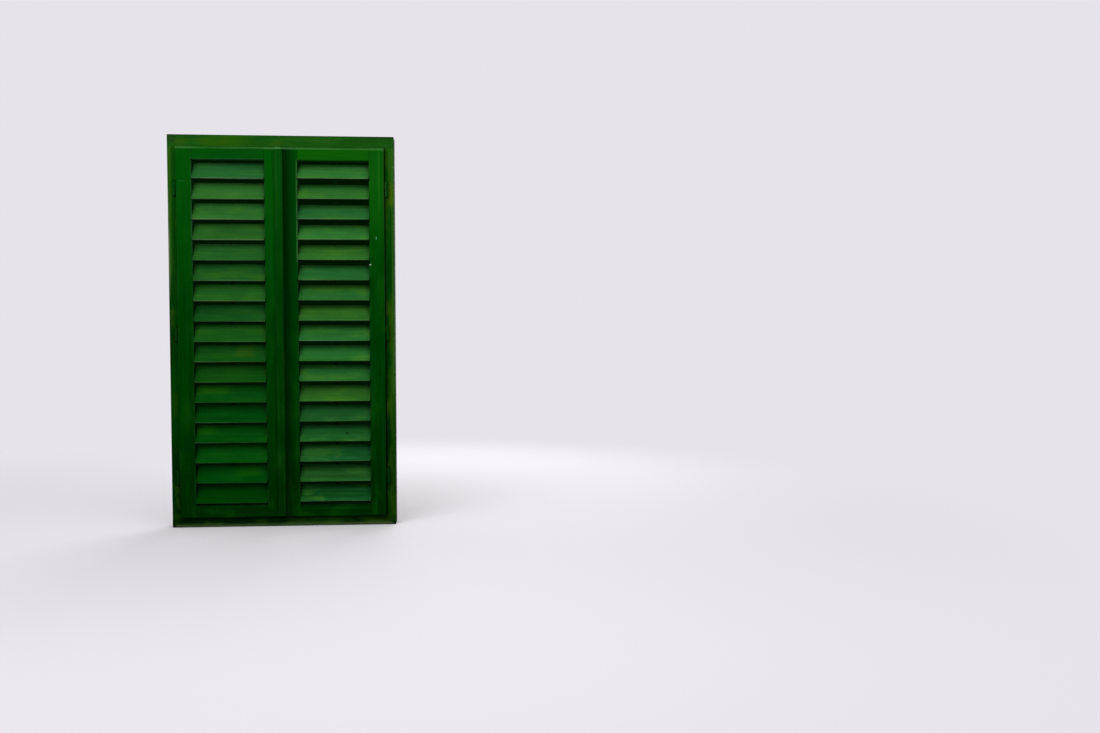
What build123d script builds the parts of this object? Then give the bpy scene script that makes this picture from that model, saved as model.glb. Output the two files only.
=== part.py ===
from build123d import *
import math
import os

# A pair of louvred timber window shutters, hung in their rebated frame.
# Millimetres. X runs to the right seen from outside, Y runs inwards and Z runs up.
# The origin is the middle of the frame's underside. Modelled shut, with the slats half open.

# Frame
frame_width = 850.0
frame_height = 1500.0
frame_depth = 80.0
jamb_band = 33.0
head_band = 45.0
sill_band = 38.0
ledge_width = 12.0
rebate_depth = 22.5
frame_arris = 2.0
frame_tenon_thickness = 18.0
frame_tenon_width = 26.0
frame_tenon_length = 26.0
fixing_hole_diameter = 8.0
fixing_head_diameter = 16.0
fixing_head_depth = 4.0
fixing_spacing = 1000.0
fixing_setback = 18.0

# Leaves
leaf_thickness = 40.0
stop_gap = 0.5
side_gap = 2.0
top_gap = 2.0
bottom_gap = 3.0
meeting_gap = 4.0
hinge_stile_width = 58.0
meeting_stile_width = 60.0
top_rail_height = 50.0
bottom_rail_height = 46.0
leaf_arris = 2.0
opening_chamfer = 3.5
rail_tenon_thickness = 13.0
rail_tenon_length = 36.0
rail_tenon_shoulder = 8.0
joint_gap = 0.15

# Slats
slat_count = 17
slat_chord = 80.0
slat_thickness = 8.0
slat_edge_radius = 2.8
left_slat_tilt = 35.0
right_slat_tilt = 41.0
shut_tilt = 22.0
slat_end_gap = 0.75
end_slat_gap = 0.8
pivot_diameter = 9.0
pivot_length = 12.0
pivot_clearance = 0.05
pivot_end_gap = 1.0

# Tilt rods and their staples
rod_width = 12.0
rod_depth = 10.0
rod_overrun = 30.0
rod_clearance = 0.5
staple_wire = 1.6
staple_opening = 4.0
staple_clearance = 0.45
staple_bite = 6.0
notch_clearance = 1.0

# Meeting strip
strip_width = 31.0
strip_thickness = 12.0
strip_lap = 9.5
strip_relief = 1.0
strip_end_gap = 2.0
strip_edge = 3.0

# Hinges
barrel_diameter = 12.0
barrel_length = 62.0
barrel_gap = 0.3
barrel_dome = 2.0
hinge_offset = 9.0
hinge_stand_off = 9.0
hinge_end_distance = 155.0
hinge_pin_diameter = 6.0
hinge_pin_length = 24.0
hinge_pin_clearance = 0.05
flap_thickness = 2.5
flap_height = 26.0
jamb_flap_bite = 24.0
leaf_flap_bite = 28.0
flap_gap = 0.2

# Barrel bolts
bolt_diameter = 8.0
bolt_travel = 16.0
bolt_inset = 33.0
bolt_height = 9.0
bolt_tip_gap = 1.0
bolt_bore_clearance = 0.3
bolt_hole_clearance = 0.5
bolt_plate_width = 28.0
bolt_plate_length = 92.0
bolt_plate_thickness = 2.0
bolt_plate_gap = 3.0
guide_width = 8.0
guide_wall = 2.2
guide_starts = (2.0, 50.0, 70.0)
knob_neck_diameter = 5.0
knob_diameter = 8.5
knob_reach = 19.0
knob_stop_gap = 1.0
plate_screw_diameter = 6.5
plate_screw_head = 1.0

# Stay hooks and their eyes
hook_wire = 5.0
hook_bend = 5.0
hook_pin_clearance = 0.05
hook_head_diameter = 8.5
hook_head_height = 2.0
hook_rest_gap = 0.3
hook_eye_inset = 63.0
hook_eye_rise = 26.0
eye_diameter = 13.0
eye_height = 5.0
eye_reach = 9.5
eye_shank_diameter = 4.5
eye_shank_length = 18.0
stay_angle = 132.0
sill_eye_inset = 110.0
sill_eye_setback = 12.0
sill_eye_height = 8.0
sill_eye_bore = 7.0
sill_eye_flange = 20.0
sill_eye_flange_thickness = 2.0
sill_eye_shank_length = 12.0
hook_floor_gap = 2.0

# Planes and faces worked out from the sizes above
front = -frame_depth / 2
back = frame_depth / 2
ledge_face = front + rebate_depth
leaf_back = ledge_face - stop_gap
leaf_front = leaf_back - leaf_thickness
leaf_middle = (leaf_front + leaf_back) / 2
ledge_middle = (ledge_face + back) / 2

jamb_face = frame_width / 2 - jamb_band
jamb_reveal = jamb_face - ledge_width
head_face = frame_height - head_band
head_ledge = head_face - ledge_width
sill_ledge = sill_band + ledge_width

leaf_bottom = sill_band + bottom_gap
leaf_top = head_face - top_gap
leaf_height = leaf_top - leaf_bottom
leaf_outer = jamb_face - side_gap
leaf_inner = meeting_gap / 2
opening_outer = leaf_outer - hinge_stile_width
opening_inner = leaf_inner + meeting_stile_width
opening_width = opening_outer - opening_inner
opening_middle = (opening_outer + opening_inner) / 2
opening_bottom = leaf_bottom + bottom_rail_height
opening_top = leaf_top - top_rail_height

# The staple on a slat turns inside the staple on the rod, about its own cross wire.
staple_half_diagonal = staple_wire * math.sqrt(2) / 2
rod_staple_half = staple_half_diagonal + staple_clearance + staple_wire
staple_reach = rod_staple_half * math.sqrt(2) + staple_clearance
rod_radius = slat_chord / 2 + staple_reach

# With the slats shut, the top and bottom ones just clear the rails.
shut_reach = (slat_chord / 2 * math.cos(math.radians(shut_tilt))
              + slat_thickness / 2 * math.sin(math.radians(shut_tilt)))
first_slat = opening_top - shut_reach - end_slat_gap
last_slat = opening_bottom + shut_reach + end_slat_gap
slat_pitch = (first_slat - last_slat) / (slat_count - 1)
slat_heights = [first_slat - slat_pitch * i for i in range(slat_count)]
slat_length = opening_width - 2 * slat_end_gap
pivot_hole_depth = pivot_length - slat_end_gap + pivot_end_gap
rod_face_gap = slat_thickness / 2 + rod_clearance

# The shut top staple stands higher than the opening, in a notch cut in the top rail.
shut_lean = rod_radius * math.sin(math.radians(shut_tilt))
shut_rise = rod_radius * math.cos(math.radians(shut_tilt))
notch_radius = staple_opening / 2 + staple_wire + notch_clearance
notch_front = leaf_middle + shut_lean - rod_staple_half - notch_clearance
notch_top = first_slat + shut_rise + rod_staple_half + notch_clearance

hinge_x = leaf_outer + hinge_offset
hinge_y = front - hinge_stand_off
hinge_heights = [leaf_bottom + hinge_end_distance,
                 (leaf_bottom + leaf_top) / 2,
                 leaf_top - hinge_end_distance]

bolt_x = -(leaf_inner + bolt_inset)
bolt_y = leaf_back + bolt_height
bolt_hole_diameter = bolt_diameter + 2 * bolt_hole_clearance
bolt_hole_depth = bolt_travel + bolt_hole_clearance

eye_x = leaf_outer - hook_eye_inset
eye_y = leaf_back + eye_reach
eye_z = leaf_bottom + hook_eye_rise
sill_eye_x = frame_width / 2 - sill_eye_inset
sill_eye_y = ledge_face + sill_eye_setback
arm_z = eye_z + eye_height / 2 + hook_rest_gap + hook_bend


def opened(x, y, angle):
    """Where a point of the shut right leaf stands once the leaf has swung out by angle."""
    turn = math.radians(angle)
    dx = x - hinge_x
    dy = y - hinge_y
    return (hinge_x + dx * math.cos(turn) - dy * math.sin(turn),
            hinge_y + dx * math.sin(turn) + dy * math.cos(turn))


# The hook just spans from the leaf's eye to the sill's eye when the leaf stands open.
eye_open_x, eye_open_y = opened(eye_x, eye_y, stay_angle)
hook_length = math.hypot(eye_open_x - sill_eye_x, eye_open_y - sill_eye_y)


def block(x0, x1, y0, y1, z0, z1):
    """A box between two corners, given in either order."""
    size = (abs(x1 - x0), abs(y1 - y0), abs(z1 - z0))
    return Pos((x0 + x1) / 2, (y0 + y1) / 2, (z0 + z1) / 2) * Box(*size)


def rod_along(axis, diameter, start, end, u, v):
    """A cylinder along X, Y or Z from start to end; u and v are its other two coordinates."""
    length = abs(end - start)
    middle = (start + end) / 2
    cylinder = Cylinder(diameter / 2, length)
    if axis == "X":
        return Pos(middle, u, v) * Rot(0, 90, 0) * cylinder
    if axis == "Y":
        return Pos(u, middle, v) * Rot(90, 0, 0) * cylinder
    return Pos(u, v, middle) * cylinder


def prism_along_x(points, x0, x1):
    """A polygon of (y, z) points drawn out from x0 to x1."""
    face = make_face(Polyline(*[(x0, y, z) for y, z in points], close=True))
    return extrude(face, amount=x1 - x0, dir=(1, 0, 0))


def prism_along_z(points, z0, z1):
    """A polygon of (x, y) points drawn up from z0 to z1."""
    face = make_face(Polyline(*[(x, y, z0) for x, y in points], close=True))
    return extrude(face, amount=z1 - z0, dir=(0, 0, 1))


def mirrored(shape):
    """The same piece on the other side of the meeting line."""
    return mirror(shape, about=Plane.YZ)


def edges_at(shape, axis, **place):
    """The edges parallel to an axis whose middle has the given coordinates."""
    found = shape.edges().filter_by(axis)
    for name, value in place.items():
        found = found.filter_by(lambda edge: abs(getattr(edge.center(), name) - value) < 0.01)
    return found


# The frame: head and sill run right across, the jambs are tenoned between them.

def jamb_tenon(growth):
    """The right jamb's two tenons, or with growth the mortises that take them."""
    middle_x = (jamb_reveal + frame_width / 2) / 2
    half_width = frame_tenon_width / 2 + growth
    half_thickness = frame_tenon_thickness / 2 + growth
    length = frame_tenon_length + 2 * growth
    pair = []
    for z0, z1 in ((sill_ledge - length, sill_ledge), (head_ledge, head_ledge + length)):
        pair.append(block(middle_x - half_width, middle_x + half_width,
                          ledge_middle - half_thickness, ledge_middle + half_thickness, z0, z1))
    return pair


def frame_right_jamb():
    """L-section post: the band beside the leaf and the ledge that the leaf closes on."""
    side = frame_width / 2
    section = [(side, front), (jamb_face, front), (jamb_face, ledge_face),
               (jamb_reveal, ledge_face), (jamb_reveal, back), (side, back)]
    jamb = prism_along_z(section, sill_band, head_face)
    jamb = chamfer(edges_at(jamb, Axis.Z, X=side, Y=front), frame_arris)
    jamb = chamfer(edges_at(jamb, Axis.Z, X=jamb_face, Y=front), frame_arris)
    jamb -= block(0, frame_width, ledge_face, frame_depth, 0, sill_ledge)
    jamb -= block(0, frame_width, ledge_face, frame_depth, head_ledge, frame_height)
    for tenon in jamb_tenon(0):
        jamb += tenon
    for z in hinge_heights:
        flap_z = z - barrel_length / 4
        jamb -= block(hinge_x - flap_thickness / 2 - flap_gap, hinge_x + flap_thickness / 2 + flap_gap,
                      front - frame_arris, front + jamb_flap_bite + flap_gap,
                      flap_z - flap_height / 2 - flap_gap, flap_z + flap_height / 2 + flap_gap)
    fixing_y = ledge_face + fixing_setback
    for z in (frame_height / 2 - fixing_spacing / 2, frame_height / 2 + fixing_spacing / 2):
        jamb -= rod_along("X", fixing_hole_diameter, jamb_reveal - 1, side + 1, fixing_y, z)
        head = Pos(jamb_reveal + fixing_head_depth / 2, fixing_y, z) * Rot(0, 90, 0)
        jamb -= head * Cone(fixing_head_diameter / 2, fixing_hole_diameter / 2, fixing_head_depth)
    return jamb


def cross_member(band_end, face, ledge_end):
    """Head or sill: an L-section rail from its outer edge to its face and its ledge."""
    side = frame_width / 2
    section = [(front, band_end), (back, band_end), (back, ledge_end),
               (ledge_face, ledge_end), (ledge_face, face), (front, face)]
    member = prism_along_x(section, -side, side)
    member = chamfer(edges_at(member, Axis.X, Y=front, Z=band_end), frame_arris)
    inward = 1 if face > band_end else -1
    bevel = [(front - frame_arris, face + inward * frame_arris),
             (front - frame_arris, face - 2 * inward * frame_arris),
             (front + frame_arris, face),
             (front + frame_arris, face + inward * frame_arris)]
    member -= prism_along_x(bevel, -jamb_face - frame_arris, jamb_face + frame_arris)
    for sign in (-1, 1):
        corner = sign * side
        member -= prism_along_z([(corner + sign, front - 1), (corner - sign * frame_arris, front - 1),
                                 (corner - sign * frame_arris, front),
                                 (corner, front + frame_arris), (corner + sign, front + frame_arris)],
                                min(band_end, face), max(band_end, face))
    for mortise in jamb_tenon(joint_gap):
        member -= mortise
        member -= mirrored(mortise)
    return member


def frame_head():
    """The head takes the top bolt in a plain hole in its ledge."""
    head = cross_member(frame_height, head_face, head_ledge)
    head -= rod_along("Z", bolt_hole_diameter, head_ledge - 1, head_ledge + bolt_hole_depth, bolt_x, bolt_y)
    return head


def frame_sill():
    """The sill takes the bottom bolt and the shanks of the two stay eyes."""
    sill = cross_member(0, sill_band, sill_ledge)
    sill -= rod_along("Z", bolt_hole_diameter, sill_ledge + 1, sill_ledge - bolt_hole_depth, bolt_x, bolt_y)
    for sign in (-1, 1):
        sill -= rod_along("Z", eye_shank_diameter + 2 * joint_gap, sill_ledge + 1,
                          sill_ledge - sill_eye_shank_length - joint_gap, sign * sill_eye_x, sill_eye_y)
    return sill


def sill_eye():
    """A flanged socket that the tip of the right stay hook drops into."""
    flange = Cylinder(sill_eye_flange / 2, sill_eye_flange_thickness)
    eye = Pos(sill_eye_x, sill_eye_y, sill_ledge + sill_eye_flange_thickness / 2) * flange
    eye += rod_along("Z", eye_diameter, sill_ledge, sill_ledge + sill_eye_height, sill_eye_x, sill_eye_y)
    eye -= rod_along("Z", sill_eye_bore, sill_ledge + sill_eye_flange_thickness,
                     sill_ledge + sill_eye_height + 1, sill_eye_x, sill_eye_y)
    eye += rod_along("Z", eye_shank_diameter, sill_ledge - sill_eye_shank_length, sill_ledge,
                     sill_eye_x, sill_eye_y)
    return eye


# Hinges: each has a lower barrel with its pin, let into the jamb, and an upper barrel on the leaf.

def frame_barrel(z):
    """The lower half of a right-hand hinge, its pin standing up."""
    half = barrel_length / 2
    top = z - barrel_gap / 2
    barrel = rod_along("Z", barrel_diameter, z - half, top, hinge_x, hinge_y)
    barrel = chamfer(barrel.edges().filter_by(GeomType.CIRCLE).sort_by(Axis.Z)[0], barrel_dome)
    barrel += rod_along("Z", hinge_pin_diameter, top, top + hinge_pin_length, hinge_x, hinge_y)
    flap_z = z - barrel_length / 4
    barrel += block(hinge_x - flap_thickness / 2, hinge_x + flap_thickness / 2,
                    hinge_y, front + jamb_flap_bite,
                    flap_z - flap_height / 2, flap_z + flap_height / 2)
    return barrel


def leaf_barrel(z):
    """The upper half of a right-hand hinge, bored for the pin."""
    half = barrel_length / 2
    bottom = z + barrel_gap / 2
    barrel = rod_along("Z", barrel_diameter, bottom, z + half, hinge_x, hinge_y)
    barrel = chamfer(barrel.edges().filter_by(GeomType.CIRCLE).sort_by(Axis.Z)[-1], barrel_dome)
    flap_z = z + barrel_length / 4
    barrel += block(hinge_x, leaf_outer - leaf_flap_bite,
                    hinge_y - flap_thickness / 2, hinge_y + flap_thickness / 2,
                    flap_z - flap_height / 2, flap_z + flap_height / 2)
    barrel -= rod_along("Z", hinge_pin_diameter + 2 * hinge_pin_clearance, bottom - 1,
                        z - barrel_gap / 2 + hinge_pin_length + barrel_gap, hinge_x, hinge_y)
    return barrel


# Leaves: the right-hand one is drawn, and mirrored for the left.

def rail_tenon(z0, z1, growth):
    """A rail's two tenons between z0 and z1, or with growth the mortises that take them."""
    half = rail_tenon_thickness / 2 + growth
    length = rail_tenon_length + growth
    pair = []
    for x0, x1 in ((opening_inner - length, opening_inner), (opening_outer, opening_outer + length)):
        pair.append(block(x0, x1, leaf_middle - half, leaf_middle + half,
                          z0 + rail_tenon_shoulder - growth, z1 - rail_tenon_shoulder + growth))
    return pair


def opening_bevel_along_z(x, side):
    """The wedge taken off a stile's front corner beside the slats; side points into the wood."""
    c = opening_chamfer
    points = [(x - side * c, leaf_front - c), (x + side * 2 * c, leaf_front - c),
              (x, leaf_front + c), (x - side * c, leaf_front + c)]
    return prism_along_z(points, opening_bottom, opening_top)


def stile(x_edge, x_opening):
    """An upright of the right leaf, from its free edge to the side where the slats turn."""
    side = 1 if x_edge > x_opening else -1
    post = block(x_edge, x_opening, leaf_front, leaf_back, leaf_bottom, leaf_top)
    post = fillet(edges_at(post, Axis.Z, X=x_edge, Y=leaf_front), leaf_arris)
    post = fillet(edges_at(post, Axis.X, Y=leaf_front, Z=leaf_top), leaf_arris)
    post -= opening_bevel_along_z(x_opening, side)
    for z0, z1 in ((opening_top, leaf_top), (leaf_bottom, opening_bottom)):
        for mortise in rail_tenon(z0, z1, joint_gap):
            post -= mortise
    hole = pivot_diameter + 2 * pivot_clearance
    for z in slat_heights:
        post -= rod_along("X", hole, x_opening - side, x_opening + side * pivot_hole_depth, leaf_middle, z)
    return post


def hinge_stile():
    """The stile that carries the hinges, mortised for their flaps."""
    post = stile(leaf_outer, opening_outer)
    for z in hinge_heights:
        flap_z = z + barrel_length / 4
        post -= block(leaf_outer + 1, leaf_outer - leaf_flap_bite - flap_gap,
                      hinge_y - flap_thickness / 2 - flap_gap, hinge_y + flap_thickness / 2 + flap_gap,
                      flap_z - flap_height / 2 - flap_gap, flap_z + flap_height / 2 + flap_gap)
    return post


def rail(z0, z1, opening_z):
    """A cross rail of the right leaf with a tenon at each end."""
    bar = block(opening_inner, opening_outer, leaf_front, leaf_back, z0, z1)
    if z1 == leaf_top:
        bar = fillet(edges_at(bar, Axis.X, Y=leaf_front, Z=leaf_top), leaf_arris)
    bar = chamfer(edges_at(bar, Axis.X, Y=leaf_front, Z=opening_z), opening_chamfer)
    for tenon in rail_tenon(z0, z1, 0):
        bar += tenon
    return bar


def top_rail():
    """The top rail, with a round-topped notch behind for the tilt rod's top staple."""
    bar = rail(opening_top, leaf_top, opening_top)
    arch_z = notch_top - notch_radius
    bar -= block(opening_middle - notch_radius, opening_middle + notch_radius,
                 notch_front, leaf_back + 1, opening_top - 1, arch_z)
    bar -= rod_along("Y", 2 * notch_radius, notch_front, leaf_back + 1, opening_middle, arch_z)
    return bar


def bottom_rail():
    """The bottom rail, bored for the shank of the hook's eye."""
    bar = rail(leaf_bottom, opening_bottom, opening_bottom)
    bar -= rod_along("Y", eye_shank_diameter + 2 * joint_gap, leaf_back + 1,
                     leaf_back - eye_shank_length - joint_gap, eye_x, eye_z)
    return bar


def slat(z, tilt):
    """One slat of the right leaf: rounded blade, two round pivots and its wire staple."""
    blade = Box(slat_length, slat_thickness, slat_chord)
    blade = fillet(blade.edges().filter_by(Axis.X), slat_edge_radius)
    for sign in (-1, 1):
        blade += rod_along("X", pivot_diameter, sign * slat_length / 2,
                           sign * (slat_length / 2 + pivot_length), 0, 0)
    half = staple_wire / 2
    leg_x = staple_opening / 2 + half
    cross_z = slat_chord / 2 + staple_reach
    staple = block(-leg_x - half, leg_x + half, -half, half, cross_z - half, cross_z + half)
    for sign in (-1, 1):
        staple += block(sign * leg_x - half, sign * leg_x + half, -half, half,
                        slat_chord / 2 - staple_bite, cross_z + half)
    blade += staple
    return Pos(opening_middle, leaf_middle, z) * Rot(-tilt, 0, 0) * blade


def tilt_rod(tilt):
    """The batten that links the right leaf's slats, with one staple for each."""
    rod_rise = rod_radius * math.cos(math.radians(tilt))
    rod_pivot_y = leaf_middle + rod_radius * math.sin(math.radians(tilt))
    top = slat_heights[0] + rod_rise + rod_overrun
    bottom = slat_heights[-1] + rod_rise - rod_overrun
    rod_front = rod_pivot_y + rod_face_gap
    rod = block(opening_middle - rod_width / 2, opening_middle + rod_width / 2,
                rod_front, rod_front + rod_depth, bottom, top)
    rod = chamfer(edges_at(rod, Axis.Z, Y=rod_front + rod_depth), staple_wire)
    half = staple_wire / 2
    inner = rod_staple_half - staple_wire
    x0 = opening_middle - half
    x1 = opening_middle + half
    for slat_z in slat_heights:
        z = slat_z + rod_rise
        rod += block(x0, x1, rod_pivot_y - rod_staple_half, rod_pivot_y - inner,
                     z - rod_staple_half, z + rod_staple_half)
        for sign in (-1, 1):
            rod += block(x0, x1, rod_pivot_y - rod_staple_half, rod_front + staple_bite,
                         z + sign * inner, z + sign * rod_staple_half)
    return rod


def meeting_strip():
    """A half-round cover strip on the left leaf that laps over the right leaf's edge."""
    right = -leaf_inner + strip_lap
    left = right - strip_width
    z0 = leaf_bottom + strip_end_gap
    edge_y = leaf_front - strip_edge
    base = Polyline((left, edge_y, z0), (left, leaf_front, z0), (-leaf_inner, leaf_front, z0),
                    (-leaf_inner, leaf_front - strip_relief, z0), (right, leaf_front - strip_relief, z0),
                    (right, edge_y, z0))
    crown = ThreePointArc((right, edge_y, z0), ((left + right) / 2, leaf_front - strip_thickness, z0),
                          (left, edge_y, z0))
    section = make_face([*base.edges(), *crown.edges()])
    return extrude(section, amount=leaf_height - 2 * strip_end_gap, dir=(0, 0, 1))


# Barrel bolts on the inner face of the left leaf; direction is 1 for the top bolt, -1 for the bottom.

def plate_end(direction):
    """The height of the plate's end that faces the frame."""
    if direction > 0:
        return head_ledge - bolt_plate_gap
    return sill_ledge + bolt_plate_gap


def bolt_guide(direction):
    """A back plate with three straps that the bolt slides in."""
    end = plate_end(direction)
    far_end = end - direction * bolt_plate_length
    plate = block(bolt_x - bolt_plate_width / 2, bolt_x + bolt_plate_width / 2,
                  leaf_back, leaf_back + bolt_plate_thickness, end, far_end)
    strap_radius = bolt_diameter / 2 + bolt_bore_clearance + guide_wall
    for start in guide_starts:
        z0 = end - direction * start
        z1 = z0 - direction * guide_width
        plate += block(bolt_x - strap_radius, bolt_x + strap_radius, leaf_back, bolt_y, z0, z1)
        plate += rod_along("Z", 2 * strap_radius, z0, z1, bolt_x, bolt_y)
    plate -= rod_along("Z", bolt_diameter + 2 * bolt_bore_clearance, end, far_end, bolt_x, bolt_y)
    screw_x = (strap_radius + bolt_plate_width / 2) / 2
    screw_z = guide_starts[0] + guide_width / 2
    plate_face = leaf_back + bolt_plate_thickness
    for across in (-screw_x, screw_x):
        for along in (screw_z, bolt_plate_length - screw_z):
            plate += rod_along("Y", plate_screw_diameter / 2, plate_face, plate_face + plate_screw_head,
                               bolt_x + across, end - direction * along)
    return plate


def knob(z):
    """A ball on a short neck, turned about the line that stands out of the bolt's side."""
    neck = knob_neck_diameter / 2
    ball = knob_diameter / 2
    join = knob_reach - math.sqrt(ball ** 2 - neck ** 2)
    outline = Polyline((-bolt_tip_gap, 0, 0), (-bolt_tip_gap, neck, 0), (-join, neck, 0))
    cap = ThreePointArc((-join, neck, 0), (-knob_reach, ball, 0), (-knob_reach - ball, 0, 0))
    axis_line = Line((-knob_reach - ball, 0, 0), (-bolt_tip_gap, 0, 0))
    profile = make_face([*outline.edges(), *cap.edges(), *axis_line.edges()])
    return Pos(bolt_x, bolt_y, z) * revolve(profile, axis=Axis.X)


def bolt(direction):
    """A round bolt with its side knob, drawn back as far as its strap lets it."""
    end = plate_end(direction)
    tip = end + direction * (bolt_plate_gap - bolt_tip_gap)
    tail = end - direction * bolt_plate_length
    shaft = rod_along("Z", bolt_diameter, tip, tail, bolt_x, bolt_y)
    shaft = chamfer(shaft.edges().filter_by(GeomType.CIRCLE), bolt_tip_gap)
    return shaft + knob(end - direction * (guide_starts[1] - knob_stop_gap - knob_neck_diameter / 2))


# Stay hooks: drawn folded against the shut right leaf.

def hook_eye():
    """A screw eye in the bottom rail, its ring lying level."""
    ring = rod_along("Z", eye_diameter, eye_z - eye_height / 2, eye_z + eye_height / 2, eye_x, eye_y)
    ring += rod_along("Y", eye_shank_diameter, leaf_back - eye_shank_length, eye_y, eye_x, eye_z)
    ring -= rod_along("Z", hook_wire + 2 * hook_pin_clearance, eye_z - eye_height, eye_z + eye_height,
                      eye_x, eye_y)
    return ring


def stay_hook():
    """A wire hook bent down at both ends: one end turns in the leaf's eye, the other drops in the sill's."""
    head_z = eye_z - eye_height / 2 - hook_rest_gap
    tip_x = eye_x - hook_length
    tip_z = sill_ledge + hook_floor_gap
    path = FilletPolyline((eye_x, eye_y, head_z), (eye_x, eye_y, arm_z),
                          (tip_x, eye_y, arm_z), (tip_x, eye_y, tip_z), radius=hook_bend)
    wire_section = Plane(origin=(eye_x, eye_y, head_z), z_dir=(0, 0, 1)) * Circle(hook_wire / 2)
    hook = sweep(wire_section, path=path)
    hook += rod_along("Z", hook_head_diameter, head_z - hook_head_height, head_z, eye_x, eye_y)
    return hook


def write(name, *solids):
    """One STEP file for a piece, or for a group of like pieces."""
    shape = solids[0] if len(solids) == 1 else Compound(children=list(solids))
    shape.label = name
    export_step(shape, f"parts/{name}.step")


os.makedirs("parts", exist_ok=True)

right_jamb = frame_right_jamb()
write("frame_right_jamb", right_jamb)
write("frame_left_jamb", mirrored(right_jamb))
write("frame_head", frame_head())
write("frame_sill", frame_sill())
write("sill_hook_eyes", mirrored(sill_eye()), sill_eye())

frame_barrels = [frame_barrel(z) for z in hinge_heights]
write("frame_hinge_barrels", *[mirrored(barrel) for barrel in frame_barrels], *frame_barrels)
leaf_barrels = [leaf_barrel(z) for z in hinge_heights]
write("right_hinge_barrels", *leaf_barrels)
write("left_hinge_barrels", *[mirrored(barrel) for barrel in leaf_barrels])

like_pieces = {
    "hinge_stile": hinge_stile(),
    "meeting_stile": stile(leaf_inner, opening_inner),
    "top_rail": top_rail(),
    "bottom_rail": bottom_rail(),
    "hook_eye": hook_eye(),
    "stay_hook": stay_hook(),
}
for name, piece in like_pieces.items():
    write(f"right_{name}", piece)
    write(f"left_{name}", mirrored(piece))

write("right_tilt_rod", tilt_rod(right_slat_tilt))
write("left_tilt_rod", mirrored(tilt_rod(left_slat_tilt)))
for number, height in enumerate(slat_heights, start=1):
    write(f"right_slat_{number:02d}", slat(height, right_slat_tilt))
    write(f"left_slat_{number:02d}", mirrored(slat(height, left_slat_tilt)))

write("meeting_strip", meeting_strip())
write("bolt_guides", bolt_guide(1), bolt_guide(-1))
write("top_bolt", bolt(1))
write("bottom_bolt", bolt(-1))

print("slat pitch", round(slat_pitch, 2), "hook length", round(hook_length, 1))
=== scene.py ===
import math
from functools import partial
import bpy
from mathutils import Matrix, Vector


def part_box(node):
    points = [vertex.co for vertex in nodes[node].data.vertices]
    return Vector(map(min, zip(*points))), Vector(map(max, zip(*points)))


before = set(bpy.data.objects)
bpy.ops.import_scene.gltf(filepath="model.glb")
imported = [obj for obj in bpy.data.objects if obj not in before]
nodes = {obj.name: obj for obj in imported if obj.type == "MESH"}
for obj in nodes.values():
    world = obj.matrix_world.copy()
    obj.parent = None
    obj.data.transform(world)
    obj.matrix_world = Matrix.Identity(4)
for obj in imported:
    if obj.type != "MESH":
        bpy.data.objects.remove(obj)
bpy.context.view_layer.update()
print("frame loaded:", len(nodes), "nodes")


def linearColour(hexText):  # sRGB to linear: c / 12.92 low down, ((c + 0.055) / 1.055) ^ 2.4 above
    channels = [int(hexText[i:i + 2], 16) / 255 for i in (1, 3, 5)]
    return [c / 12.92 if c <= 0.04045 else ((c + 0.055) / 1.055) ** 2.4 for c in channels] + [1.0]


def addNode(tree, kind, inputs=None, **settings):  # one node with its settings, values and links
    node = tree.nodes.new("ShaderNode" + kind)
    for key, value in settings.items():
        setattr(node, key, value)
    for key, value in (inputs or {}).items():
        if isinstance(value, bpy.types.Node):  # a node stands for its first live output
            value = next(socket for socket in value.outputs if socket.enabled)
        if isinstance(value, bpy.types.NodeSocket):
            tree.links.new(value, node.inputs[key])
        else:
            node.inputs[key].default_value = value
    return node


def newMaterial(name):  # an empty material, and the function that adds nodes to it
    material = bpy.data.materials.new(name)
    material.use_nodes = True
    material.node_tree.nodes.clear()
    return material, partial(addNode, material.node_tree)


def dress(names, material):  # every face of these nodes gets the one material
    for name in names:
        mesh = nodes[name].data
        mesh.materials.clear()
        mesh.materials.append(material)


def nodesEnding(*endings):
    return [name for name in nodes if name.endswith(endings)]


# Places that the looks follow, read from the frame.

leftSlats = sorted(name for name in nodes if name.startswith("left_slat_"))
slatTop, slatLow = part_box(leftSlats[0]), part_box(leftSlats[-1])
slatPitch = (slatTop[0][2] - slatLow[0][2]) / (len(leftSlats) - 1)
slatFoot = slatLow[0][2] - 0.004  # just below the lowest slat, so that one pitch holds one slat
hingeStile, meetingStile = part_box("left_hinge_stile"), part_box("left_meeting_stile")
topRail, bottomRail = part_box("left_top_rail"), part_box("left_bottom_rail")
leafFace, leafLow, leafHigh = hingeStile[0][1], hingeStile[0][2], hingeStile[1][2]
openingOuter, openingInner = -hingeStile[1][0], -meetingStile[0][0]
openingMiddle, openingHalf = (openingOuter + openingInner) / 2, (openingOuter - openingInner) / 2
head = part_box("frame_head")
frameFace, frameBack, frameHalf, frameHigh = head[0][1], head[1][1], head[1][0], head[1][2]


# Alkyd enamel brushed on softwood along the grain, many coats and years old: the bristle tracks stay as
# ridges, the film has chalked to nearly no shine, rain pales the slats' lower edges, painted shade darkens
# corners.
# Nodes are filled by their sockets' numbers. A MapRange reads 0, runs from 1 to 2 and gives 3 and 4 there.
# A Mix takes its share at 0, and its two ends at 2 and 3 for numbers or at 6 and 7 for colours.

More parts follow.
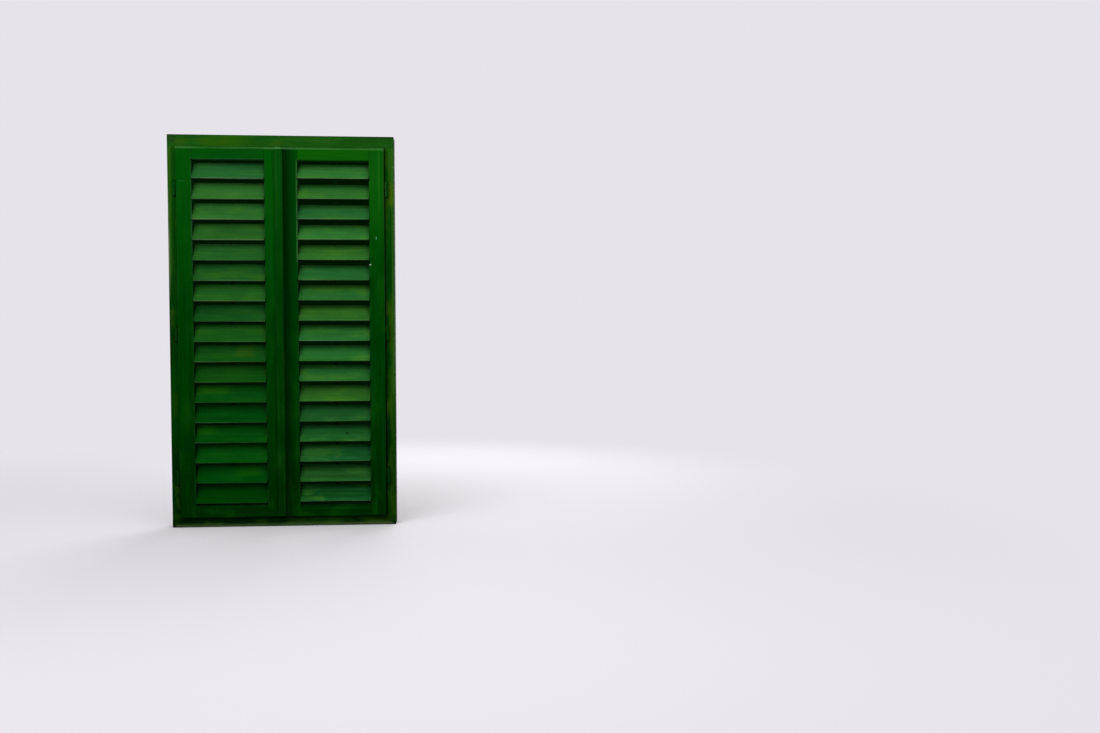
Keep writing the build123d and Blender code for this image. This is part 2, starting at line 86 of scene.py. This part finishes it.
paint = {
    "patterns": {  # width across the grain, length along it, octaves
        "strokes": (0.0032, 0.16, 3),   # one bristle track, 3 mm
        "grain": (0.0011, 0.09, 2),     # hard growth standing proud under the paint
        "streaks": (0.012, 0.42, 2),    # one pull of the brush beside the next
        "clouds": (0.05, 0.13, 3),      # patches where one coat covered the last less well
    },
    "patternRoughness": 0.55,
    "contrast": {"strokes": 0.18, "grain": 0.07, "streaks": 0.12, "clouds": 0.14},
    "contrastRamp": {1: 0.28, 2: 0.72},              # nearly all of the noise lies between these
    "patches": {"olive": ("clouds", {1: 0.48, 2: 0.68}), "blue": ("streaks", {1: 0.5, 2: 0.7})},
    "sidewaysRamp": {1: 0.8, 2: 0.97, 3: 1.0},       # painted shade in the joints and openings, on what faces sideways
    "markRamp": {1: 0.36, 2: 0.56},                  # where a broken mark lets the paint through
    "markDepthSoft": 0.001,
    "roughness": {1: 0.3, 2: 0.7, 3: 0.44, 4: 0.6},
    "gloss": 0.0005,                                 # chalked, so next to none
    "grainInRelief": 0.4,                            # the rest is bristle tracks
    "bump": {"Strength": 0.8, "Distance": 0.00035},
}
memberWear = {  # stiles, rails, strip, rods, iron and frame
    "arris": {1: 0.12, 2: 0.42},
    "patchy": {1: 0.35, 2: 0.62, 3: 0.2},
    "dirt": {1: 0.3, 2: 0.65, 3: 1.0, 4: 0.4},       # lies on what faces up
}
slatWear = {
    "rightSeed": 53.0,                               # parts the right leaf's chances from the left's
    "tint": {1: 0.45, 2: 1.0},                       # about half of the slats get none
    "tintShares": {"olive": 0.5, "blue": 0.45},
    "brightness": {3: 0.88, 4: 1.12},                # darkest and lightest slat
    "paintedSkyLight": {3: 1.0, 4: 1.08},                     # painted light, left and right: the right leaf's slats are lit brighter, as they see more sky
    "leftSide": {1: 0.02, 2: -0.08},                 # painted deep shade, on the left leaf alone
    "lowDown": {1: 1.35, 2: 0.35, 4: 0.92},          # and growing towards its foot
    "ends": {1: openingHalf - 0.02, 2: openingHalf - 0.002, 3: 1.0, 4: 0.76},  # painted shade beside the stiles
    "lap": {1: 0.62, 2: 0.86},                       # the part of a slat under the next one up
    "lapValue": {3: 1.1, 4: 0.66},                   # painted light on the left leaf, painted shade on the right
    "noseFacing": (0.0, -0.62, -0.78),               # the way that a slat's lower arris looks
    "arris": {1: 0.08, 2: 0.4},                      # rubbed pale by rain
    "rained": {1: 0.5, 2: 1.3, 3: 0.25},             # more rain high up
    "patchy": {1: 0.35, 2: 0.62, 3: 0.15},
    "under": {1: 0.55, 2: 0.85, 3: 1.0},             # the edge under the arris never sees light
    "underValue": {3: 0.5, 4: 0.2},                  # left and right
}


def mark(x, z, colour, share, soft=(0.002, 0.002), y=None, broken=0.0):  # a soft-edged box of another colour
    return {"x": x, "y": y, "z": z, "soft": soft, "colour": colour, "share": share, "broken": broken}


def brushPatterns(add, place, grain):  # noise drawn out along the grain, one for each size of brush mark
    pattern = {}
    for key, (width, length, octaves) in paint["patterns"].items():
        scale = [1 / width] * 3
        scale["XYZ".index(grain)] = 1 / length
        stretched = add("Mapping", {"Vector": place, "Scale": scale})
        pattern[key] = add("TexNoise", {"Vector": stretched, "Scale": 1.0, "Detail": octaves,
                                        "Roughness": paint["patternRoughness"]})
    return pattern


def coatColour(add, look, z, pattern):  # three colours by height, then olive and blue patches over them
    colour = linearColour(look["low"])
    middle = look["middleHeight"]
    for low, high, key in ((leafLow, middle, "middle"), (middle, leafHigh, "high")):
        rise = add("MapRange", {0: z, 1: low, 2: high}, interpolation_type="SMOOTHSTEP")
        colour = add("Mix", {0: rise, 6: colour, 7: linearColour(look[key])}, data_type="RGBA")
    for key, (source, ramp) in paint["patches"].items():
        patch = add("MapRange", {0: pattern[source], 4: look[key + "Share"]} | ramp,
                    interpolation_type="SMOOTHSTEP")
        colour = add("Mix", {0: patch, 6: colour, 7: linearColour(look[key])}, data_type="RGBA")
    return colour


def slatEffects(add, look, at, pattern, colour):  # each slat was painted at its own turn
    steps = add("Math", {0: at["z"], 1: slatFoot}, operation="SUBTRACT")
    steps = add("Math", {0: steps, 1: slatPitch}, operation="DIVIDE")
    rise = add("Math", {0: steps}, operation="FRACT")
    turn = add("Math", {0: steps}, operation="FLOOR")
    rightLeaf = add("Math", {0: at["x"], 1: 0.0}, operation="GREATER_THAN")
    seed = add("Math", {0: rightLeaf, 1: slatWear["rightSeed"], 2: turn}, operation="MULTIPLY_ADD")
    chance = add("TexWhiteNoise", {"W": seed}, noise_dimensions="1D")
    oliveChance, blueChance, lightChance = add("SeparateColor", {0: chance.outputs["Color"]}).outputs
    for key, drawn in (("olive", oliveChance), ("blue", blueChance)):
        strength = add("MapRange", {0: drawn, 4: slatWear["tintShares"][key]} | slatWear["tint"])
        colour = add("Mix", {0: strength, 6: colour, 7: linearColour(look[key])}, data_type="RGBA")
    bright = add("MapRange", {0: lightChance} | slatWear["brightness"])
    # painted light: the right leaf's slats are made brighter
    paintedSkyLight = add("MapRange", {0: rightLeaf} | slatWear["paintedSkyLight"])

    # painted shade over the left leaf's lower slats
    leftSide = add("MapRange", {0: at["x"]} | slatWear["leftSide"])
    lowDown = add("MapRange", {0: at["z"]} | slatWear["lowDown"], interpolation_type="SMOOTHSTEP")
    shaded = add("Math", {0: leftSide, 1: lowDown}, operation="MULTIPLY")
    colour = add("Mix", {0: shaded, 6: colour, 7: linearColour(look["shaded"])}, data_type="RGBA")

    # painted shade at each slat's two ends, beside the stiles
    ends = add("Math", {0: at["x"]}, operation="ABSOLUTE")
    ends = add("Math", {0: ends, 1: openingMiddle}, operation="SUBTRACT")
    ends = add("Math", {0: ends}, operation="ABSOLUTE")
    ends = add("MapRange", {0: ends} | slatWear["ends"])

    # painted shade on each slat's top, under the next slat up; painted light there on the left leaf
    lapValue = add("MapRange", {0: rightLeaf} | slatWear["lapValue"])
    lap = add("MapRange", {0: rise} | slatWear["lap"], interpolation_type="SMOOTHSTEP")
    lap = add("Mix", {0: lap, 2: 1.0, 3: lapValue}, data_type="FLOAT")

    nose = add("VectorMath", {0: at["facing"], 1: slatWear["noseFacing"]}, operation="DOT_PRODUCT")
    nose = nose.outputs["Value"]
    rained = add("MapRange", {0: at["z"], 4: look["wornShare"]} | slatWear["rained"])
    worn = add("MapRange", {0: nose, 4: rained} | slatWear["arris"])
    patchy = add("MapRange", {0: pattern["streaks"]} | slatWear["patchy"])
    worn = add("Math", {0: worn, 1: patchy}, operation="MULTIPLY")
    underValue = add("MapRange", {0: rightLeaf} | slatWear["underValue"])
    under = add("MapRange", {0: nose, 4: underValue} | slatWear["under"])
    return colour, worn, [bright, paintedSkyLight, ends, lap, under]


def memberEffects(add, look, at, pattern, colour):  # worn arrises, and dirt on what faces up
    # an arris faces two ways at once, so the product of its normal's parts is large
    upright = add("Math", {0: at["nx"], 1: at["ny"]}, operation="MULTIPLY")
    upright = add("Math", {0: upright}, operation="ABSOLUTE")
    level = add("Math", {0: at["ny"], 1: at["nz"]}, operation="MULTIPLY")
    level = add("Math", {0: level}, operation="ABSOLUTE")
    worn = add("Math", {0: upright, 1: level}, operation="MAXIMUM")
    worn = add("MapRange", {0: worn, 4: look["wornShare"]} | memberWear["arris"])
    patchy = add("MapRange", {0: pattern["clouds"]} | memberWear["patchy"])
    worn = add("Math", {0: worn, 1: patchy}, operation="MULTIPLY")
    dirt = add("MapRange", {0: at["nz"]} | memberWear["dirt"])
    return colour, worn, [dirt]


def paintMark(add, spot, look, at, pattern, colour):  # full in the box, none past its soft edge
    sides = [spot["x"], spot["y"] or look["depth"], spot["z"]]
    middle = [(low + high) / 2 for low, high in sides]
    halfX, halfY, halfZ = [(high - low) / 2 for low, high in sides]
    softX, softZ = spot["soft"]
    edge = [halfX + softX, halfY + paint["markDepthSoft"], halfZ + softZ]
    core = [halfX - softX / 2, halfY, halfZ - softZ / 2]
    off = add("VectorMath", {0: at["place"], 1: middle}, operation="SUBTRACT")
    off = add("VectorMath", {0: off}, operation="ABSOLUTE")
    inside = add("MapRange", {"Vector": off, 7: edge, 8: core}, data_type="FLOAT_VECTOR",
                 interpolation_type="SMOOTHSTEP")
    insideX, insideY, insideZ = add("SeparateXYZ", {0: inside}).outputs
    mask = add("MapRange", {0: pattern["strokes"], 3: (1 - spot["broken"]) * spot["share"],
                            4: spot["share"]} | paint["markRamp"])
    for side in (insideX, insideY, insideZ):
        mask = add("Math", {0: mask, 1: side}, operation="MULTIPLY")
    return add("Mix", {0: mask, 6: colour, 7: linearColour(spot["colour"])}, data_type="RGBA")


def brushedPaint(name, look):  # the coat with its wear and painted shade, then the marks, over bristle ridges
    material, add = newMaterial(name)
    coord = add("TexCoord")
    at = {"place": coord.outputs["Object"], "facing": coord.outputs["Normal"]}
    at["x"], _, at["z"] = add("SeparateXYZ", {0: at["place"]}).outputs
    at["nx"], at["ny"], at["nz"] = add("SeparateXYZ", {0: at["facing"]}).outputs
    pattern = brushPatterns(add, at["place"], look["grain"])
    colour = coatColour(add, look, at["z"], pattern)
    effects = slatEffects if look["slats"] else memberEffects
    colour, worn, factors = effects(add, look, at, pattern, colour)

    for key, spread in paint["contrast"].items():
        factors.append(add("MapRange", {0: pattern[key], 3: 1 - spread, 4: 1 + spread}
                           | paint["contrastRamp"]))
    # painted shade: what faces sideways sits in joints and openings, so it is darkened
    sideways = add("Math", {0: at["nx"]}, operation="ABSOLUTE")
    factors.append(add("MapRange", {0: sideways, 4: look["sideShare"]} | paint["sidewaysRamp"]))
    value = 1.0
    for factor in factors:
        value = add("Math", {0: value, 1: factor}, operation="MULTIPLY")
    colour = add("Mix", {0: worn, 6: colour, 7: linearColour(look["worn"])}, data_type="RGBA")
    colour = add("HueSaturation", {"Value": value, "Color": colour})
    for spot in look["marks"]:
        colour = paintMark(add, spot, look, at, pattern, colour)

    relief = add("Mix", {0: paint["grainInRelief"], 2: pattern["strokes"], 3: pattern["grain"]},
                 data_type="FLOAT")
    shader = add("BsdfPrincipled", {
        "Base Color": colour,
        "Normal": add("Bump", {"Height": relief} | paint["bump"]),
        "Roughness": add("MapRange", {0: pattern["strokes"]} | paint["roughness"]),
        "Specular IOR Level": paint["gloss"],
    })
    add("OutputMaterial", {"Surface": shader})
    return material


# Each look: three colours by height, two patch colours and the worn arris, and the depth that its marks
# take in. Each mark: its reach along x and z, its colour and its share.

topArrisHighlight = (leafHigh - 0.0075, leafHigh - 0.001)  # painted highlight along the leaves' top arris
leafSpan = (-0.4, 0.4)                           # across both leaves
markBefore, markBehind = 0.02, 0.005             # how far a mark reaches from the face it lies on
seam = {"half": 0.0008, "soft": (0.0008, 0.001), "colour": "#001c04", "share": 0.55, "belowTop": 0.009}
# the joints between stiles and rails
seams = [mark((edge - seam["half"], edge + seam["half"]), heights, seam["colour"], seam["share"],
              soft=seam["soft"])
         for edge in (-openingOuter, -openingInner, openingOuter, openingInner)
         for heights in ((leafLow, bottomRail[1][2]), (topRail[0][2], leafHigh - seam["belowTop"]))]
leafLook = {
    "depth": (leafFace - markBefore, leafFace + markBehind), "slats": False,
    "high": "#045008", "middle": "#013a03", "low": "#002b00", "middleHeight": 0.62,
    "olive": "#0e4606", "oliveShare": 0.45, "blue": "#003c12", "blueShare": 0.35,
    "worn": "#2a5a2c", "wornShare": 0.3, "sideShare": 0.4,
}
stileMarks = seams + [
    # left leaf
    mark((-0.382, -0.352), (1.3215, 1.3245), "#28602e", 0.5, broken=0.5),            # an old scratch
    mark((-openingOuter - 0.0035, -openingOuter), (1.1, topRail[0][2]), "#2e5c34", 0.4, soft=(0.001, 0.1)),
    mark((-0.06, -0.03), (1.1, leafHigh), "#045608", 0.35, soft=(0.01, 0.2), broken=0.6),
    # right leaf
    # dirt and painted shade high up the right meeting stile
    mark((openingInner - 0.05, openingInner), (0.78, leafHigh), "#003408", 0.6, soft=(0.01, 0.3)),
    mark((-0.01, 0.026), (leafLow, leafHigh), "#001602", 0.8, soft=(0.03, 0.01)),    # dirt and painted shadow beside the strip
    mark((openingInner - 0.0045, openingInner - 0.0005), (1.02, topRail[0][2]), "#4a8246", 0.6,
         soft=(0.001, 0.01), broken=0.6),                                            # a pale arris
    mark((openingOuter, 0.385), (1.22, leafHigh), "#125e0c", 0.75, soft=(0.02, 0.22), broken=0.5),
    mark((0.368, 0.374), (1.22, 1.42), "#2a701f", 0.35, soft=(0.003, 0.05), broken=0.8),
    mark((0.384, 0.392), (1.2, leafHigh), "#1e4a14", 0.65, soft=(0.003, 0.1), broken=0.3),
    # both leaves' painted top highlight, then the right leaf's two chips, down to the primer
    mark(leafSpan, topArrisHighlight, "#4c8c46", 0.5, broken=0.5),
    mark((0.3572, 0.3602), (1.106, 1.1155), "#4ba068", 0.8, soft=(0.001, 0.002)),
    mark((0.3312, 0.3382), (1.0065, 1.0102), "#b4c4ae", 0.95, soft=(0.002, 0.0015)),
]
railMarks = seams + [
    mark((openingInner, openingOuter), (topRail[0][2], leafHigh), "#125e04", 0.75, soft=(0.03, 0.01),
         broken=0.3),
    mark((-0.22, -0.10), (topRail[0][2], leafHigh), "#00460f", 0.5, soft=(0.06, 0.01), broken=0.5),
    # painted highlight along the top arris
    mark(leafSpan, topArrisHighlight, "#4c8c40", 0.4, broken=0.6),
    mark((-0.34, -0.05), (topRail[0][2] - 0.001, topRail[0][2] + 0.006), "#2a5a30", 0.4),
]
# the strip's top end gets the painted highlight along the top arris
stripMarks = [mark((-0.1, 0.1), topArrisHighlight, "#5a9a52", 0.6)]
ironMarks = [mark((0.3935, 0.3965), (1.272, 1.324), "#3a6434", 0.7, soft=(0.001, 0.01))]  # painted highlight down a hinge barrel
frameLook = {
    "depth": (frameFace - markBefore, frameFace + markBehind), "slats": False,
    "high": "#1c5412", "middle": "#013a05", "low": "#012402", "middleHeight": 0.7,
    "olive": "#2f520c", "oliveShare": 0.65, "blue": "#003c10", "blueShare": 0.3,
    "worn": "#2f5a2a", "wornShare": 0.25, "sideShare": 0.8,
}
jambMarks = [
    # left jamb: olive high up and at its foot, dark low down, chalked outer edge
    mark((-frameHalf, -0.412), (0.98, frameHigh), "#2e5c14", 0.75, soft=(0.004, 0.12), broken=0.4),
    mark((-frameHalf, -0.419), (0.1, 0.8), "#021c02", 0.7, soft=(0.003, 0.1)),
    mark((-frameHalf, -0.420), (0.92, 1.12), "#8f9c7c", 0.5, soft=(0.002, 0.06), broken=1.0),
    mark((-frameHalf, -0.4215), (1.15, 1.36), "#7c8c62", 0.5, soft=(0.002, 0.05), broken=1.0),
    mark((-frameHalf, -0.395), (0.34, 0.6), "#023c04", 0.75, soft=(0.004, 0.06)),
    mark((-0.415, -0.385), (0.0, 0.05), "#1e4402", 0.6, soft=(0.006, 0.012), broken=0.4),
    # right jamb: outer edge sunned high up and dark low down, then patches of lichen from the top down
    mark((0.406, frameHalf), (1.3, frameHigh), "#2c6014", 0.7, soft=(0.004, 0.08), broken=0.3),
    mark((0.417, frameHalf), (0.5, frameHigh), "#3f7020", 0.45, soft=(0.002, 0.1), broken=0.6),
    mark((0.412, frameHalf), (0.1, 0.42), "#0c3404", 0.6, soft=(0.003, 0.06)),
    mark((0.407, 0.4245), (1.243, 1.318), "#426808", 0.75, soft=(0.004, 0.015), broken=0.4),
    mark((0.407, 0.4245), (0.69, 0.87), "#345c02", 0.6, soft=(0.004, 0.05), broken=0.5),
    mark((0.410, 0.4245), (0.32, 0.66), "#1c5206", 0.5, soft=(0.004, 0.08), broken=0.6),
    mark((0.396, 0.4245), (0.0, 0.12), "#1a4402", 0.6, soft=(0.006, 0.03), broken=0.4),
]
crossMarks = [
    # head, then sill
    mark((-0.27, -0.14), (1.46, frameHigh), "#2c5e02", 0.55, soft=(0.05, 0.01), broken=0.4),
    # painted shadow along the head's top edge, where a wall would shade it
    mark((0.33, frameHalf), (frameHigh - 0.006, frameHigh), "#10240c", 0.7, soft=(0.01, 0.003)),
    mark((-frameHalf, -0.34), (frameHigh - 0.003, frameHigh), "#1a2c14", 0.7, soft=(0.02, 0.002)),
    mark((-frameHalf, -0.395), (1.472, frameHigh), "#22361a", 0.6, soft=(0.006, 0.008), broken=0.4),
    # painted shadow of the leaves on the sill
    mark((-0.40, 0.39), (0.02, 0.05), "#001c00", 0.55, soft=(0.01, 0.012)),
    mark((-0.41, 0.41), (0.0, 0.009), "#4a5a3a", 0.7, soft=(0.01, 0.008), broken=0.5),
]
slatLook = {
    "depth": (-0.08, 0.0), "slats": True,        # past both faces of a half open slat
    "high": "#2e6a2b", "middle": "#246127", "low": "#0e4117", "middleHeight": 0.7,
    "olive": "#386a1a", "oliveShare": 0.55, "blue": "#14522c", "blueShare": 0.45, "shaded": "#003f07",
    "worn": "#6a8a60", "wornShare": 0.7, "sideShare": 0.35,
}
slatMarks = [
    # the left leaf's lowest slat is the darkest, and four of its slats have olive blotches
    mark((-0.37, 0.0), (0.06, slatFoot + slatPitch), "#003402", 0.75),
    mark((-0.317, -0.216), (0.516, 0.546), "#22600c", 0.55, soft=(0.04, 0.01), broken=0.4),
    mark((-0.33, -0.27), (0.36, 0.39), "#1c5c06", 0.5, soft=(0.03, 0.01), broken=0.4),
    mark((-0.17, -0.12), (0.66, 0.70), "#365c10", 0.45, soft=(0.03, 0.012), broken=0.4),
    mark((-0.17, -0.10), (0.20, 0.23), "#185a04", 0.45, soft=(0.04, 0.01), broken=0.4),
    mark((0.236, 0.247), (0.3555, 0.3625), "#08300c", 0.7),                          # a knot
    mark((-0.083, -0.073), (1.305, 1.325), "#5c5a2c", 0.25, soft=(0.006, 0.008)),    # rust
]
bareWireInShade = {"colour": "#0e0c0a", "beside": 0.001, "before": 0.006, "behind": 0.01, "soft": (0.0005, 0.01)}
for side in ("left", "right"):  # the staples in the slats' inner edges were never painted: bare wire, darkened near black as painted shade where they show between the slats
    rodLow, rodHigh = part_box(side + "_tilt_rod")
    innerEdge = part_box(side + "_slat_01")[1][1]
    beside = (rodLow[0] - bareWireInShade["beside"], rodHigh[0] + bareWireInShade["beside"])
    slatMarks.append(mark(beside, (0.0, frameHigh), bareWireInShade["colour"], 1.0, soft=bareWireInShade["soft"],
                          y=(innerEdge - bareWireInShade["before"], innerEdge + bareWireInShade["behind"])))

coats = {  # the look, the grain's direction, its own changes
    "brushedEnamelUpright": (leafLook, "Z", {"marks": stileMarks}),
    "brushedEnamelLevel": (leafLook, "X", {"marks": railMarks}),
    "brushedEnamelStrip": (leafLook, "Z", {"marks": stripMarks, "wornShare": 0.1, "high": "#064a0a"}),
    "brushedEnamelJamb": (frameLook, "Z", {"marks": jambMarks, "high": "#0e4c0a"}),
    "brushedEnamelHead": (frameLook, "X", {"marks": crossMarks}),
    "brushedEnamelSlat": (slatLook, "X", {"marks": slatMarks}),
    "brushedEnamelRod": (leafLook, "Z", {"marks": []}),
    "brushedEnamelIron": (leafLook, "Z", {"marks": ironMarks, "wornShare": 0.12, "high": "#023e06",
                                          "olive": "#2e3a10"}),
}
enamels = {name: brushedPaint(name, look | {"grain": grain} | own)
           for name, (look, grain, own) in coats.items()}
print("paints mixed:", len(enamels))

dress(nodesEnding("hinge_stile", "meeting_stile"), enamels["brushedEnamelUpright"])
dress(nodesEnding("top_rail", "bottom_rail"), enamels["brushedEnamelLevel"])
dress(["meeting_strip"], enamels["brushedEnamelStrip"])
dress(nodesEnding("_jamb"), enamels["brushedEnamelJamb"])
dress(["frame_head", "frame_sill"], enamels["brushedEnamelHead"])
dress([name for name in nodes if "_slat_" in name], enamels["brushedEnamelSlat"])
dress(nodesEnding("tilt_rod"), enamels["brushedEnamelRod"])
dress(nodesEnding("hinge_barrels") + ["bolt_guides"], enamels["brushedEnamelIron"])
print("woodwork dressed")


# Mild steel, drawn to wire and bar: dull grey mill skin, browned in patches, finely pitted.

steel = {
    "clean": "#4b4743", "rust": "#4a2a16", "roughness": 0.55,
    "patches": {"Scale": 160.0, "Detail": 4.0},    # 6 mm apart
    "pits": {"Scale": 900.0, "Detail": 3.0},       # 1.1 mm apart
    "bump": {"Strength": 0.5, "Distance": 0.0002},
    "boltRust": {1: 0.53, 2: 0.7},                 # handled more, so less of it is rust
    "wireRust": {1: 0.41, 2: 0.7},
}


def weatheredSteel(name, rust):  # metal where the noise is low, matt rust where it is high
    material, add = newMaterial(name)
    place = add("TexCoord").outputs["Object"]
    patches = add("TexNoise", {"Vector": place} | steel["patches"])
    pits = add("TexNoise", {"Vector": place} | steel["pits"])
    rusty = add("MapRange", {0: patches} | rust)
    shader = add("BsdfPrincipled", {
        "Base Color": add("Mix", {0: rusty, 6: linearColour(steel["clean"]), 7: linearColour(steel["rust"])},
                          data_type="RGBA"),
        "Metallic": add("Math", {0: 1.0, 1: rusty}, operation="SUBTRACT"),
        "Normal": add("Bump", {"Height": pits} | steel["bump"]),
        "Roughness": steel["roughness"],
    })
    add("OutputMaterial", {"Surface": shader})
    return material


dress(["top_bolt", "bottom_bolt"], weatheredSteel("drawnSteelBolt", steel["boltRust"]))
dress(nodesEnding("stay_hook", "hook_eye", "hook_eyes"), weatheredSteel("drawnSteelWire", steel["wireRust"]))
print("iron dressed")


# Studio: pale floor, pale surroundings, and painted shade behind the frame for the dark inside of the house.

studio = {
    "pale": "#e6e3ea",                       # floor and surroundings, seen straight or in metal
    "floorBounce": "#26242a",                # the floor as the object sees it, like a dark street
    "floorHalf": 30, "floorRoughness": 0.9,
    "skyLight": 0.85, "groundLight": 0.12,   # an overcast sky above, little light from below
    "horizonSoft": 0.12,
    "behindShare": 0.35,                     # the house itself keeps light off from behind
    "behindSoft": 0.1,
    "fadeFrom": 1.0, "fadeTo": 3.2,          # the floor melts into the surroundings over this distance
    # the painted shade between the slats: its colour, inset and gap
    "roomShade": "#001300", "roomInset": (0.025, 0.03), "roomGap": 0.0015,
    "lamps": {                               # place, width, power
        "keyLamp": ((-1.5, -3.4, 3.2), 3.0, 80.0),
        "fillLamp": ((2.2, -3.4, 1.8), 2.4, 30.0),
        "backLamp": ((1.2, 3.6, 1.7), 3.0, 100.0),
    },
    "lampAim": (0.0, -0.04, 0.8),
}
pale = linearColour(studio["pale"])


def seenDirectly(add):  # 1 for what is seen, straight or in metal or glass, and 0 for all other light
    rays = add("LightPath").outputs
    seen = add("Math", {0: rays["Is Camera Ray"], 1: rays["Is Glossy Ray"]}, operation="MAXIMUM")
    return add("Math", {0: seen, 1: rays["Is Transmission Ray"]}, operation="MAXIMUM")


def flatPanel(name, corners, material):  # one face through four corners
    mesh = bpy.data.meshes.new(name)
    mesh.from_pydata(corners, [], [(0, 1, 2, 3)])
    mesh.materials.append(material)
    panel = bpy.data.objects.new(name, mesh)
    bpy.context.scene.collection.objects.link(panel)
    return panel


world = bpy.data.worlds.new("paleSurroundings")
world.use_nodes = True
world.node_tree.nodes.clear()
add = partial(addNode, world.node_tree)
_, inward, upward = add("SeparateXYZ", {0: add("TexCoord")}).outputs
sky = add("MapRange", {0: upward, 1: -studio["horizonSoft"], 2: studio["horizonSoft"],
                       3: studio["groundLight"], 4: studio["skyLight"]})
behind = add("MapRange", {0: inward, 1: -studio["behindSoft"], 2: studio["behindSoft"], 3: 1.0,
                          4: studio["behindShare"]})
sky = add("Math", {0: sky, 1: behind}, operation="MULTIPLY")
light = add("Background", {"Color": [1, 1, 1, 1], "Strength": sky})
backdrop = add("Background", {"Color": pale, "Strength": 1.0})
add("OutputWorld", {"Surface": add("MixShader", {0: seenDirectly(add), 1: light, 2: backdrop})})
bpy.context.scene.world = world

# Matt paper, rough enough to mirror nothing: it shows the object's shadow and is otherwise one tone.
paper, add = newMaterial("mattPaperFloor")
direct = seenDirectly(add)
sheet = add("Mix", {0: direct, 6: linearColour(studio["floorBounce"]), 7: pale}, data_type="RGBA")
sheet = add("BsdfPrincipled", {"Base Color": sheet, "Roughness": studio["floorRoughness"]})
distance = add("VectorMath", {0: add("TexCoord").outputs["Object"]}, operation="LENGTH").outputs["Value"]
fade = add("MapRange", {0: distance, 1: studio["fadeFrom"], 2: studio["fadeTo"]},
           interpolation_type="SMOOTHSTEP")
fade = add("Math", {0: fade, 1: direct}, operation="MULTIPLY")
glow = add("Emission", {"Color": pale, "Strength": 1.0})
add("OutputMaterial", {"Surface": add("MixShader", {0: fade, 1: sheet, 2: glow})})
far = studio["floorHalf"]
floor = flatPanel("floor", [(-far, -far, 0), (far, -far, 0), (far, far, 0), (-far, far, 0)], paper)

# What shows between the slats is painted shade for the dark inside: a dark glowing panel close behind, clear
# from its other side.
unlit, add = newMaterial("unlitRoom")
shown = add("Math", {0: seenDirectly(add), 1: add("NewGeometry").outputs["Backfacing"]},
            operation="SUBTRACT")
shown = add("Math", {0: shown, 1: 0.0}, operation="MAXIMUM")
dark = add("Emission", {"Color": linearColour(studio["roomShade"]), "Strength": 1.0})
add("OutputMaterial", {"Surface": add("MixShader", {0: shown, 1: add("BsdfTransparent"), 2: dark})})
insetX, insetZ = studio["roomInset"]
roomHalf, roomHigh, roomBack = frameHalf - insetX, frameHigh - insetZ, frameBack + studio["roomGap"]
roomShade = flatPanel("darkRoom", [(-roomHalf, roomBack, insetZ), (roomHalf, roomBack, insetZ),
                              (roomHalf, roomBack, roomHigh), (-roomHalf, roomBack, roomHigh)], unlit)

for name, (place, width, power) in studio["lamps"].items():  # square soft lamps turned to the leaves
    data = bpy.data.lights.new(name, "AREA")
    data.size = width
    data.energy = power
    lamp = bpy.data.objects.new(name, data)
    lamp.location = place
    lamp.rotation_mode = "QUATERNION"
    lamp.rotation_quaternion = (Vector(studio["lampAim"]) - Vector(place)).to_track_quat("-Z", "Y")
    bpy.context.scene.collection.objects.link(lamp)
print("studio lit")


# Camera: stands low and to the right of the shutters, looking almost square at the facade.

view = {"place": (0.689, -4.224, 0.788), "yaw": -4.65, "pitch": -2.38, "roll": 0.06, "focalPixels": 1070.0,
        "imageWidth": 1100.0, "filmWidth": 36.0}
yaw, pitch, roll = (math.radians(view[key]) for key in ("yaw", "pitch", "roll"))
turn = (Matrix.Rotation(yaw, 3, "Z") @ Matrix.Rotation(pitch, 3, "X") @ Matrix.Rotation(roll, 3, "Y")
        @ Matrix.Rotation(math.pi / 2, 3, "X"))  # the last quarter turn points the lens along +Y
cameraData = bpy.data.cameras.new("photoCamera")
cameraData.sensor_width = view["filmWidth"]
cameraData.lens = view["focalPixels"] * view["filmWidth"] / view["imageWidth"]
camera = bpy.data.objects.new("photoCamera", cameraData)
camera.matrix_world = Matrix.Translation(view["place"]) @ turn.to_4x4()
bpy.context.scene.collection.objects.link(camera)
bpy.context.scene.camera = camera
bpy.context.scene.view_settings.view_transform = "Standard"
print("camera placed")
